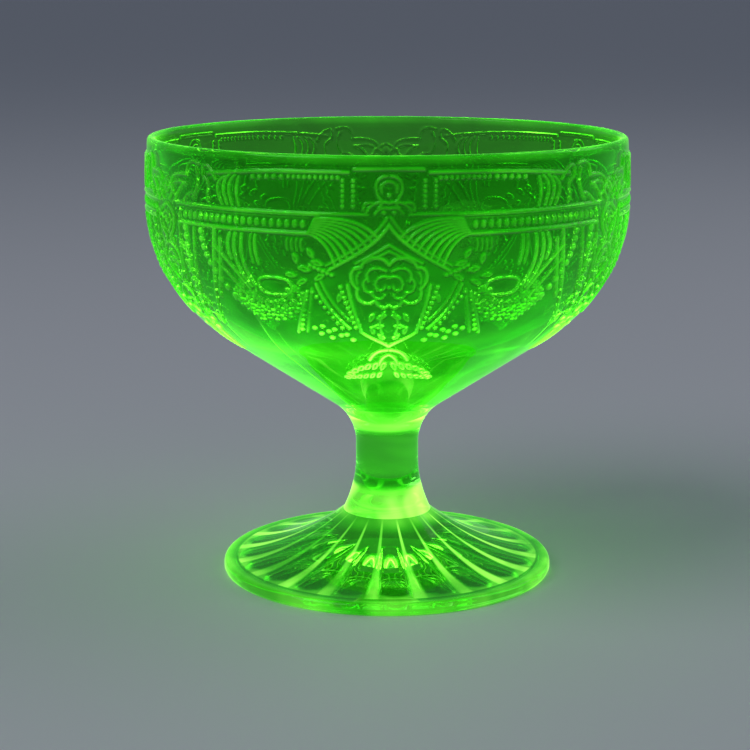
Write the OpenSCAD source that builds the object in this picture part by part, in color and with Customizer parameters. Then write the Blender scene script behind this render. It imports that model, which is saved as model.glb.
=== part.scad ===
// Footed dessert dish of pressed glass, in one pressing: a deep bowl with a band of
// neoclassical relief, a short waisted stem and a round foot with scooped rays under it.
// Millimetres. The origin is the middle of the standing ring, +Z is up, -Y is the front.
// Each module is one moulded region of the pressing, with its neighbours face to face.

/* [Bowl] */
// Height of the whole dish
height = 79; // [70:1:90]
// Outer radius of the upright wall of the bowl
wall_r = 42.4; // [40:0.1:46]
// Outer radius at the lip, which leans in a little
lip_r = 42.1; // [39.5:0.1:46]
// Thickness of the lip
lip_t = 1.5; // [1.2:0.1:2]
// Thickness of the wall and of the bowl's cone
wall_t = 2.5; // [2:0.1:3]
// Height at which the upright wall starts to turn in
curve_z = 68; // [66:0.5:70]
// Radius of the turn between the wall and the cone
curve_r = 28.8; // [26:0.1:31]
// Radius of the flat plunger mark inside the bowl
plunger_r = 1.4; // [1:0.1:2]

/* [Stem] */
// Radius of the stem at its waist
stem_r = 5.65; // [5:0.05:6.5]
// Height of the waist
waist_z = 23.3; // [22:0.1:25]
// Radius of the sweep from the waist out to the cone
upper_sweep_r = 9; // [7:0.5:12]
// Radius of the sweep from the waist down to the collar
lower_sweep_r = 22; // [20:0.5:24]
// Height at which the collar meets the foot
collar_z = 10.7; // [10:0.1:11.5]

/* [Foot] */
// Outer radius of the foot
foot_r = 29.9; // [28.5:0.1:32]
// Thickness of the foot at its edge
foot_edge = 2.1; // [1.8:0.1:2.6]
// Width of the plain ring that the dish stands on
ring_w = 2.4; // [2:0.1:3]
// Height of the hollow under the middle of the foot
hollow_z = 3.2; // [2.6:0.1:4]
// Number of scooped rays under the foot
rays = 20; // [16:1:24]
// How far the rays are turned from the front
ray_turn = 3; // [0:0.5:18]
// Height of the ridges between the scoops
ray_h = 0.45; // [0.3:0.05:0.5]

/* [Relief] */
// Height of the raised lines
line_h = 0.4; // [0.3:0.05:0.5]
// Width of the raised lines
line_w = 0.6; // [0.45:0.05:0.8]
// Angle from one bead to the next
bead_step = 1.8; // [1.6:0.1:3]
// Repeats of the main motif round the bowl
repeats = 3; // [2:1:3]
// Angle of the first mould seam from the front
seam_turn = -35; // [-40:1:-32]

/* [Hidden] */
$fn = 96;

slope_steps = 14;       // straight cuts along each swept part of the outline
lip_z = height - 1.4;   // the lip's rounding starts here

// The cone is the straight line that touches the wall's turn and the stem's upper sweep.
turn_x = wall_r - curve_r;
sweep_x = stem_r + upper_sweep_r;
gap_x = turn_x - sweep_x;
gap_z = curve_z - waist_z;
cone_tilt = atan2(gap_x, gap_z) + asin((curve_r + upper_sweep_r) / norm([gap_x, gap_z]));
cone_top = curve_z - curve_r * sin(cone_tilt);
cone_low = waist_z + upper_sweep_r * sin(cone_tilt);
cone_top_r = turn_x + curve_r * cos(cone_tilt);
waist_drop_z = waist_z - 2.8;
stem_top = waist_z + 2.8;
collar_top = collar_z + 5.3;

// Radius of the outside at height z, from the collar up to the lip
function outer_r(z) =
    z >= curve_z ? wall_r + (lip_r - wall_r) * (z - curve_z) / (height - curve_z) :
    z >= cone_top ? turn_x + sqrt(curve_r ^ 2 - (curve_z - z) ^ 2) :
    z >= cone_low ? cone_top_r - (cone_top - z) * tan(cone_tilt) :
    z >= waist_z ? sweep_x - sqrt(upper_sweep_r ^ 2 - (z - waist_z) ^ 2) :
    z >= waist_drop_z ? stem_r :
    stem_r + lower_sweep_r - sqrt(lower_sweep_r ^ 2 - (waist_drop_z - z) ^ 2);

// The inside runs beside the outside, one wall thickness away
inner_curve_r = curve_r - wall_t;
inner_cone_top = curve_z - inner_curve_r * sin(cone_tilt);
inner_cone_top_r = turn_x + inner_curve_r * cos(cone_tilt);
inner_low = inner_cone_top - (inner_cone_top_r - plunger_r) / tan(cone_tilt);
inner_lip_r = lip_r - lip_t;
function inner_r(z) =
    z >= curve_z ? turn_x + inner_curve_r + (inner_lip_r - turn_x - inner_curve_r)
                   * (z - curve_z) / (lip_z - curve_z) :
    z >= inner_cone_top ? turn_x + sqrt(inner_curve_r ^ 2 - (curve_z - z) ^ 2) :
    inner_cone_top_r - (inner_cone_top - z) * tan(cone_tilt);

function climb(z0, z1, n = slope_steps) = [for (i = [0 : n]) z0 + (z1 - z0) * i / n];
function outer_line(z0, z1, n = slope_steps) = [for (z = climb(z0, z1, n)) [outer_r(z), z]];
function inner_line(z0, z1, n = slope_steps) = [for (z = climb(z0, z1, n)) [inner_r(z), z]];

// The foot's top falls as a parabola from the collar to the edge
collar_r = outer_r(collar_z);
function foot_top(r) = foot_edge + (collar_z - foot_edge)
                       * (1 - (r - collar_r) / (foot_r - collar_r)) ^ 2;
ring_in = foot_r - ring_w;
plate_edge_z = 0.6;
function foot_under(r) = plate_edge_z + (hollow_z - plate_edge_z) * (1 - (r / ring_in) ^ 2);

// ---- glass body ----

module rim_lip() {
    half = lip_t / 2;
    color("yellowgreen") rotate_extrude()
        polygon(concat([[inner_r(lip_z), lip_z], [outer_r(lip_z), lip_z]],
            [for (a = [0 : 15 : 180]) [lip_r - half + half * cos(a), height - half + half * sin(a)]]));
}

module bowl_wall() {
    color("limegreen") rotate_extrude()
        polygon(concat(outer_line(cone_top, curve_z), [[outer_r(lip_z), lip_z], [inner_r(lip_z), lip_z]],
            inner_line(curve_z, inner_cone_top), [[inner_r(cone_top), cone_top]]));
}

module bowl_cone() {
    color("lawngreen") rotate_extrude()
        polygon([[outer_r(cone_low), cone_low], [cone_top_r, cone_top],
                 [inner_r(cone_top), cone_top], [inner_r(cone_low), cone_low]]);
}

module bowl_bottom() {
    color("greenyellow") rotate_extrude()
        polygon(concat([[0, stem_top]], outer_line(stem_top, cone_low),
            [[inner_r(cone_low), cone_low], [plunger_r, inner_low], [0, inner_low]]));
}

module stem() {
    color("limegreen") rotate_extrude()
        polygon(concat([[0, collar_top]], outer_line(collar_top, stem_top), [[0, stem_top]]));
}

module stem_collar() {
    color("greenyellow") rotate_extrude()
        polygon(concat([[0, collar_z]], outer_line(collar_z, collar_top), [[0, collar_top]]));
}

module foot_plate() {
    color("lawngreen") rotate_extrude()
        polygon(concat([[0, hollow_z]],
            [for (i = [1 : 8]) [ring_in * i / 8, foot_under(ring_in * i / 8)]],
            [for (i = [12 : -1 : 0]) let (r = collar_r + (ring_in - collar_r) * i / 12) [r, foot_top(r)]],
            [[0, collar_z]]));
}

// The ridges that stand between the scooped rays, widening from the middle to the ring
module foot_rays() {
    near_r = 3.5;
    far_r = ring_in - 0.3;
    steps = 5;
    near_w = 0.4;
    far_w = 2.8;
    color("greenyellow") for (i = [0 : rays - 1])
        rotate([0, 0, ray_turn + (i + 0.5) * 360 / rays]) polyhedron(
            [for (k = [0 : steps]) let (t = k / steps, r = near_r + (far_r - near_r) * t,
                w = near_w + (far_w - near_w) * t) each
                [[-w / 2, -r, foot_under(r)], [w / 2, -r, foot_under(r)], [0, -r, foot_under(r) - ray_h]]],
            concat([[0, 1, 2]], [[3 * steps + 2, 3 * steps + 1, 3 * steps]],
                [for (k = [0 : steps - 1], e = [[1, 0], [2, 1], [0, 2]]) let (b = 3 * k) each [
                    [b + e[0], b + e[1], b + 3 + e[1]], [b + e[0], b + 3 + e[1], b + 3 + e[0]]]]));
}

module foot_rim() {
    edge = 0.9;
    bevel = 0.5;
    color("limegreen") rotate_extrude()
        polygon(concat([[ring_in, foot_under(ring_in)], [ring_in + bevel, 0], [foot_r - bevel, 0],
            [foot_r, bevel]],
            [for (a = [0 : 15 : 90]) [foot_r - edge + edge * cos(a),
                                      foot_top(foot_r - edge) - edge + edge * sin(a)]],
            [[ring_in, foot_top(ring_in)]]));
}

// ---- relief: every raised line or bead stands on the outside of the bowl ----

// A point on the bowl: angle from the front towards +X, height, and how far it stands out
function on_bowl(a, z, out = 0) = [(outer_r(z) + out) * sin(a), -(outer_r(z) + out) * cos(a), z];

// A smooth line through the corner points p: the quadratic curve of three or the cubic of four
function curve_at(p, t) = len(p) == 3
    ? p[0] * (1 - t) ^ 2 + p[1] * 2 * t * (1 - t) + p[2] * t ^ 2
    : p[0] * (1 - t) ^ 3 + p[1] * 3 * t * (1 - t) ^ 2 + p[2] * 3 * t ^ 2 * (1 - t) + p[3] * t ^ 3;
function curve(p, n = 6) = [for (i = [0 : n]) curve_at(p, i / n)];

// Length of one degree round the bowl at height z
function degree_mm(z) = outer_r(z) * PI / 180;

// A raised line of three-sided section along chart points [angle, height]
module line(pts, w = line_w, h = line_h) {
    n = len(pts) - 1;
    sides = [for (i = [0 : n]) let (
        d = pts[min(i + 1, n)] - pts[max(i - 1, 0)],
        k = degree_mm(pts[i][1]),
        u = [d[0] * k, d[1]] / norm([d[0] * k, d[1]]) * w / 2)
        [-u[1] / k, u[0]]];
    points = [for (i = [0 : n]) let (p = pts[i], s = sides[i]) each [
        on_bowl(p[0] + s[0], p[1] + s[1]), on_bowl(p[0], p[1], h), on_bowl(p[0] - s[0], p[1] - s[1])]];
    faces = concat([[0, 1, 2]], [[3 * n + 2, 3 * n + 1, 3 * n]],
        [for (i = [0 : n - 1], e = [[1, 0], [2, 1], [0, 2]]) let (b = 3 * i) each [
            [b + e[0], b + e[1], b + 3 + e[1]], [b + e[0], b + 3 + e[1], b + 3 + e[0]]]]);
    polyhedron(points, faces);
}

// A bead: a low six-sided stud, w wide and tall mm high
module bead(a, z, w = 0.9, tall = 0.9, h = line_h) {
    k = degree_mm(z);
    points = concat([for (t = [0 : 60 : 300]) on_bowl(a + w / 2 * cos(t) / k, z + tall / 2 * sin(t))],
                    [on_bowl(a, z, h)]);
    polyhedron(points, concat([[0, 1, 2, 3, 4, 5]], [for (i = [0 : 5]) [(i + 1) % 6, i, 6]]));
}

// A rule: a level ridge between two angles
module rule(a0, a1, z, w = line_w, h = line_h) {
    rotate([0, 0, a0 - 90]) rotate_extrude(angle = a1 - a0)
        polygon([[outer_r(z - w / 2), z - w / 2], [outer_r(z) + h, z - w / 5],
                 [outer_r(z) + h, z + w / 5], [outer_r(z + w / 2), z + w / 2]]);
}

// Both halves of a motif, at each of its places round the bowl
module main_motif() {
    for (i = [0 : repeats - 1], side = [0, 1])
        rotate([0, 0, i * 360 / repeats]) mirror([side, 0, 0]) children();
}
module between_motif() {
    rotate([0, 0, 180 / repeats]) main_motif() children();
}

upper_z = 76.2;
upper_bead_z = 75.2;
belt_top_z = 69.8;
belt_bead_z = 68.3;
belt_low_z = 66.7;
window_a = [11, 34];

module upper_rules() color("springgreen") main_motif() rule(8.5, 43, upper_z);
module upper_beads() color("springgreen") main_motif()
    for (a = [window_a[0] : bead_step : window_a[1]]) bead(a, upper_bead_z, 0.8, 0.8);
module belt_top_rules() color("springgreen") main_motif() rule(8, 49, belt_top_z);
module belt_beads() color("springgreen") main_motif()
    for (a = [20 : bead_step : 50]) bead(a, belt_bead_z, 0.8, 1.3);
module belt_low_rules() color("springgreen") main_motif() rule(20.5, 51, belt_low_z);

module window_bars() color("springgreen") main_motif()
    line([[window_a[1], belt_top_z + 0.6], [window_a[1], upper_bead_z - 0.7]], 0.5);

module urns() color("springgreen") main_motif() {
    line(curve([[0.9, 76.2], [3.8, 75.2], [3.2, 73.6], [1.1, 72.6]]));
    line(curve([[1.2, 71.4], [3.4, 71.9], [4.4, 70.7]], 4));
    bead(1.3, 74.4, 0.7, 1.4);
}

module pendants() color("springgreen") main_motif()
    for (i = [0 : 4], a = [7.6, 9.9]) bead(a, 75.1 - 0.95 * i, 0.6, 0.8);

module wave_lines() color("springgreen") main_motif()
    for (i = [0 : 2])
        line(curve([[35.6 + 1.7 * i, 74.6], [37.4 + 1.6 * i, 73.4],
                    [36.4 + 1.8 * i, 71.8], [35.8 + 1.6 * i, 70.6]]), 0.5);

module scrolls() color("springgreen") main_motif() {
    line(curve([[41, 75.2], [44.2, 76.8], [46.4, 76.4], [44.8, 74.6]]));
    line(curve([[44.8, 74.4], [41.4, 73], [44.6, 72], [43, 70.6]]));
    line(curve([[47.2, 75.8], [46, 74], [47, 72.2], [48.6, 71]]));
    line(curve([[49.6, 76.2], [50.6, 75.2], [50.8, 74.4]], 4));
    line(curve([[51.6, 74.4], [58, 74.6], [59, 72.6], [56, 71]]));
}

// Pleats of cloth caught at the end of the belt and falling towards the middle
drape_n = 6;
module drapery() color("springgreen") main_motif()
    for (i = [0 : drape_n - 1]) let (t = i / (drape_n - 1))
        line(curve([[15.8 + 1.7 * t, 69.2 - 2.5 * t], [9 + 6 * t, 69.4 - 3 * t],
                    [4.6 + 8.4 * t, 68.3 - 3.6 * t], [2.6 + 9.2 * t, 66.1 - 4.3 * t]]), 0.5);

module ribbons() color("springgreen") main_motif() {
    line(curve([[0.9, 68.4], [2.2, 65.4], [7, 63.4]]));
    line(curve([[0.6, 65.4], [2.6, 63.6], [7.6, 61.6]]));
    line(curve([[7.8, 63.2], [10, 62], [13.6, 60.6]]));
}

module rosettes() color("springgreen") main_motif() {
    line(curve([[0.8, 61.6], [4.6, 62.6], [8.4, 60.8], [8.6, 58.2]]));
    line(curve([[8.6, 58], [8.2, 56], [4.4, 55], [1, 53.6]]));
    line(curve([[0.8, 60.4], [4.8, 60.4], [5.8, 58.4], [3, 56.4]]));
    line(curve([[0.8, 58.8], [3, 58.6], [2.8, 57], [0.9, 56]]), 0.5);
    line(curve([[6.8, 57.2], [5.2, 55.8], [2.2, 55.4]], 4), 0.5);
}

module shields() color("springgreen") main_motif() {
    line(curve([[9.6, 57.8], [8.4, 54], [6.9, 50.6]], 5));
    line(curve([[6.9, 50.2], [5, 48.9], [2.4, 48.3], [0.7, 47.6]], 5));
}

module side_straps() color("springgreen") main_motif() {
    line(curve([[16.6, 57.6], [14.4, 55], [11.4, 51.2]], 5));
    line(curve([[20.4, 56.4], [21.6, 53], [24.2, 49.6]], 5));
}

module strap_beads() color("springgreen") main_motif() {
    for (i = [0 : 6]) bead(10.9 - 0.42 * i, 57.4 - 1.1 * i, 0.6, 0.8);
    for (i = [0 : 5]) bead(17.9 - 0.92 * i, 56.8 - 1.1 * i, 0.6, 0.8);
}

// Blossoms strung between the straps and the side chains
module garlands() color("springgreen") main_motif()
    for (i = [0 : 7]) let (t = i / 7 * 2 - 1) bead(29.4 + 8.4 * t, 53.2 + 2.7 * t ^ 2, 1.3, 1.3, 0.5);

module oval_rings() color("springgreen") main_motif()
    line([for (t = [0 : 30 : 330]) [26.2 + 4.2 * cos(t), 58.4 + 1.7 * sin(t)]], 0.5);

module plumes() color("springgreen") between_motif() {
    line(curve([[1, 73], [4, 74.6], [4.2, 71.6], [1.6, 70.6]]));
    line(curve([[5.4, 70.4], [6.4, 72.6], [8.8, 72.4]], 4));
    line(curve([[1.2, 69], [4.6, 68], [4.8, 65.6], [1.2, 63.8]]));
    line(curve([[1, 62.6], [5.2, 61.6], [5, 58.8], [1, 56.4]]));
    line(curve([[1, 55.2], [3.8, 54], [3.4, 51.8], [1, 50.4]], 5));
}

// Strings of long beads that fall either side of the plume
module chains() color("springgreen") between_motif() {
    for (i = [0 : 9]) let (t = i / 9) bead(8.2 - 3.8 * t ^ 2, 65.6 - 14.4 * t, 1.1, 1.35, 0.5);
    for (i = [0 : 7]) let (t = i / 7) bead(13.4 + 6.4 * t ^ 2, 65.4 - 10 * t, 0.9, 1.2, 0.5);
}

module palmettes() color("springgreen") main_motif() {
    line(curve([[1, 46.9], [3.8, 46.6], [5.2, 45]], 4));
    line(curve([[1.2, 43.4], [6.4, 44], [10.6, 42]], 4));
    line(curve([[1.4, 40.8], [5, 41.2], [7.8, 39.6]], 4));
}

// The mould's joints leave a fine line up the stem and the bowl
module mould_seams() color("palegreen")
    for (i = [0 : 2], part = [[collar_top, stem_top], [stem_top, cone_low], [cone_low, cone_top],
                              [cone_top, 66], [70.2, 75.8]])
        line([for (z = climb(part[0], part[1], 4)) [seam_turn + 120 * i, z]], 0.3, 0.12);

rim_lip();
bowl_wall();
bowl_cone();
bowl_bottom();
stem();
stem_collar();
foot_plate();
foot_rays();
foot_rim();
upper_rules();
upper_beads();
belt_top_rules();
belt_beads();
belt_low_rules();
window_bars();
urns();
pendants();
wave_lines();
scrolls();
drapery();
ribbons();
rosettes();
shields();
side_straps();
strap_beads();
garlands();
oval_rings();
plumes();
chains();
palmettes();
mould_seams();
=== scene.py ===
import math

import bmesh
import bpy
import numpy as np
from mathutils import Matrix, Vector


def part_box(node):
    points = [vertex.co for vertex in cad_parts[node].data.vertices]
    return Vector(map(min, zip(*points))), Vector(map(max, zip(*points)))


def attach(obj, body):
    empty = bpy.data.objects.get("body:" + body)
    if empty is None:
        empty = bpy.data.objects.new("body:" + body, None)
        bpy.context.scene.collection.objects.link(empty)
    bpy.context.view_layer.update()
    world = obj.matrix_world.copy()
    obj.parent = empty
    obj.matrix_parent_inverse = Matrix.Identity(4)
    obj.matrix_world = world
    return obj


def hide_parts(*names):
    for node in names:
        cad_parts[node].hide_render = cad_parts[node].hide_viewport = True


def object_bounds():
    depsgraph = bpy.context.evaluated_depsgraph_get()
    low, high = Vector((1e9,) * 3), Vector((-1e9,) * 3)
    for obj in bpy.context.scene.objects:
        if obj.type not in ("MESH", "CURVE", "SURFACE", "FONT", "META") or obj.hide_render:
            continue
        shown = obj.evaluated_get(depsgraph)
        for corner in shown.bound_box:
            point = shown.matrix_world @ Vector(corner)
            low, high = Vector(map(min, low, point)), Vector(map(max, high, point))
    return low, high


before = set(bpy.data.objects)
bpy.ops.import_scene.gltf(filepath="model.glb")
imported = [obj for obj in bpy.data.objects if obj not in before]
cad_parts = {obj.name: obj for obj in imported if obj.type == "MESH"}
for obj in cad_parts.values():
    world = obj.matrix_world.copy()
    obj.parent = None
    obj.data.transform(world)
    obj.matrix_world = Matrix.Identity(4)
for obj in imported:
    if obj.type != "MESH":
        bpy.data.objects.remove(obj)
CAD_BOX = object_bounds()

bl_info = {
    "name": "Footed Glass Dish",
    "version": (1, 0, 0),
    "blender": (4, 5, 0),
    "location": "3D View > Sidebar > Glass Dish",
    "description": "Builds a pressed-glass footed dish with moulded relief and a glowing green glass",
    "category": "Add Mesh",
}

MM = 0.001

# ---- the dish's outline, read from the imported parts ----

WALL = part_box("bowl_wall")
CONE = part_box("bowl_cone")
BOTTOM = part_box("bowl_bottom")
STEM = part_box("stem")
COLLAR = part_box("stem_collar")
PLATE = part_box("foot_plate")
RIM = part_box("foot_rim")
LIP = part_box("rim_lip")

TOP_Z = LIP[1].z
LIP_Z = LIP[0].z
LIP_R = LIP[1].x
WALL_R = WALL[1].x
CONE_TOP_Z = CONE[1].z
CONE_LOW_Z = CONE[0].z
CONE_TOP_R = CONE[1].x
CONE_LOW_R = BOTTOM[1].x
CONE_TAN = (CONE_TOP_R - CONE_LOW_R) / (CONE_TOP_Z - CONE_LOW_Z)
CONE_TILT = math.atan(CONE_TAN)
CURVE_R = (WALL_R - CONE_TOP_R) / (1 - math.cos(CONE_TILT))
CURVE_Z = CONE_TOP_Z + CURVE_R * math.sin(CONE_TILT)
CURVE_X = WALL_R - CURVE_R
STEM_TOP_Z = STEM[1].z
COLLAR_Z = COLLAR[0].z
COLLAR_R = COLLAR[1].x
WAIST_R = 5.65 * MM          # the stem's narrowest, which no part's box shows
WAIST_LENGTH = 2.8 * MM      # the straight part of the waist
SWEEP_R = (CONE_LOW_R - WAIST_R) / (1 - math.cos(CONE_TILT))
WAIST_Z = CONE_LOW_Z - SWEEP_R * math.sin(CONE_TILT)
FLARE_Z = WAIST_Z - WAIST_LENGTH
FLARE_R = ((COLLAR_R - WAIST_R) ** 2 + (FLARE_Z - COLLAR_Z) ** 2) / (2 * (COLLAR_R - WAIST_R))
FOOT_R = RIM[1].x
RING_IN = PLATE[1].x
FOOT_EDGE = 2.1 * MM         # height of the foot's top at its edge
HOLLOW_Z = 3.2 * MM          # height of the hollow under the foot, in the middle
HOLLOW_EDGE_Z = 0.6 * MM     # and beside the standing ring
RIDGE_DROP = 0.55 * MM       # how far the ridges between the rays hang down
SCOOP_RISE = 0.25 * MM       # how far the scooped rays are cut in
EDGE_ROUND = 0.9 * MM        # rounding of the foot's edge
RING_BEVEL = 0.5 * MM        # bevel of the standing ring

WALL_T = 2.5 * MM            # thickness of the bowl's wall
LIP_T = 1.5 * MM             # and of its lip
PLUNGER_R = 1.4 * MM         # radius of the flat bottom that the plunger leaves
INNER_CURVE_R = CURVE_R - WALL_T
INNER_CONE_Z = CURVE_Z - INNER_CURVE_R * math.sin(CONE_TILT)
INNER_CONE_R = CURVE_X + INNER_CURVE_R * math.cos(CONE_TILT)
INSIDE_Z = INNER_CONE_Z - (INNER_CONE_R - PLUNGER_R) / CONE_TAN

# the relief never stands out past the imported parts, on whichever side they reach least
WIDEST_R = min(-CAD_BOX[0][0], -CAD_BOX[0][1], CAD_BOX[1][0], CAD_BOX[1][1]) - 0.01 * MM
TOUCHING = 0.001 * MM        # closer than this counts as touching

BELT_Z = (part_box("belt_beads")[0].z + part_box("belt_beads")[1].z) / 2
TIER_Z = BELT_Z - 2.1 * MM   # the two tiers of the bowl's wall meet here
RELIEF_LOW_Z = BELT_Z - 29 * MM     # the wall is plain below this
RELIEF_TOP_Z = BELT_Z + 9.2 * MM    # and above this
SEAM_TURN = -35              # degrees from the front to the first mould seam
MOTIFS = 3                   # repeats of the relief round the bowl


def outer_r(z):
    """Radius of the outside at height z, from the collar to the lip."""
    if z >= CURVE_Z:
        return WALL_R + (LIP_R - WALL_R) * (z - CURVE_Z) / (TOP_Z - CURVE_Z)
    if z >= CONE_TOP_Z:
        return CURVE_X + math.sqrt(CURVE_R**2 - (CURVE_Z - z) ** 2)
    if z >= CONE_LOW_Z:
        return CONE_LOW_R + (z - CONE_LOW_Z) * CONE_TAN
    if z >= WAIST_Z:
        return WAIST_R + SWEEP_R - math.sqrt(SWEEP_R**2 - (z - WAIST_Z) ** 2)
    if z >= FLARE_Z:
        return WAIST_R
    return WAIST_R + FLARE_R - math.sqrt(FLARE_R**2 - (FLARE_Z - z) ** 2)


def inner_r(z):
    """Radius of the bowl's inside at height z."""
    if z >= CURVE_Z:
        straight = CURVE_X + INNER_CURVE_R
        return straight + (LIP_R - LIP_T - straight) * (z - CURVE_Z) / (LIP_Z - CURVE_Z)
    if z >= INNER_CONE_Z:
        return CURVE_X + math.sqrt(INNER_CURVE_R**2 - (CURVE_Z - z) ** 2)
    return INNER_CONE_R - (INNER_CONE_Z - z) * CONE_TAN


def foot_top(r):
    """Height of the foot's top at radius r: a parabola from the collar to the edge."""
    return FOOT_EDGE + (COLLAR_Z - FOOT_EDGE) * (1 - (r - COLLAR_R) / (FOOT_R - COLLAR_R)) ** 2


def foot_under(r):
    """Height of the hollow under the foot at radius r."""
    return HOLLOW_EDGE_Z + (HOLLOW_Z - HOLLOW_EDGE_Z) * (1 - (r / RING_IN) ** 2)


def stepped(radius, z0, z1, step):
    """Points (radius, height) from z0 to z1, about one step apart along the line."""
    fine = np.linspace(z0, z1, 400)
    rs = np.array([radius(z) for z in fine])
    run = np.concatenate([[0], np.cumsum(np.hypot(np.diff(rs), np.diff(fine)))])
    count = max(2, int(round(run[-1] / step)) + 1)
    zs = np.interp(np.linspace(0, run[-1], count), run, fine)
    return [(radius(z), z) for z in zs]


# ---- relief on the outside of the bowl ----
# Each line is (points, width, height): the points are (degrees from the motif's middle,
# millimetres above the belt's beads), and two to four of them make one smooth curve.

FINE, PLAIN = 0.46, 0.62     # widths of line in millimetres
LEAF_SPREAD = 1.4            # degrees round the bowl that make a millimetre
BLOSSOM_SPREAD = 1.45        # the same for blossoms, which sit where the bowl is narrower
CURVE_POINTS = 14            # points along a curved line
SEAM_WIDTH = 0.16 * MM       # half the width of a mould seam
SEAM_HEIGHT = 0.07 * MM


def leaf(a, up, length, turn, width=0.34):
    """Lines of a pointed leaf that starts at (a, up) and grows in the direction turn (degrees)."""
    c, s = math.cos(math.radians(turn)) * length, math.sin(math.radians(turn)) * length
    tip = (a + c * LEAF_SPREAD, up + s)
    sides = [(a + (c * 0.5 - s * side) * LEAF_SPREAD, up + s * 0.5 + c * side)
             for side in (width, -width)]
    return [([(a, up), side, tip], FINE, 0.36) for side in sides]


def blossom(a, up, size, height=0.42):
    """Beads of a small flower: five petals round a heart."""
    turns = [math.radians(90 + 72 * i) for i in range(5)]
    petals = [(a + 0.5 * size * BLOSSOM_SPREAD * math.cos(t), up + 0.5 * size * math.sin(t),
               size * 0.6, size * 0.6, height) for t in turns]
    return petals + [(a, up, size * 0.5, size * 0.5, height * 0.9)]


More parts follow.
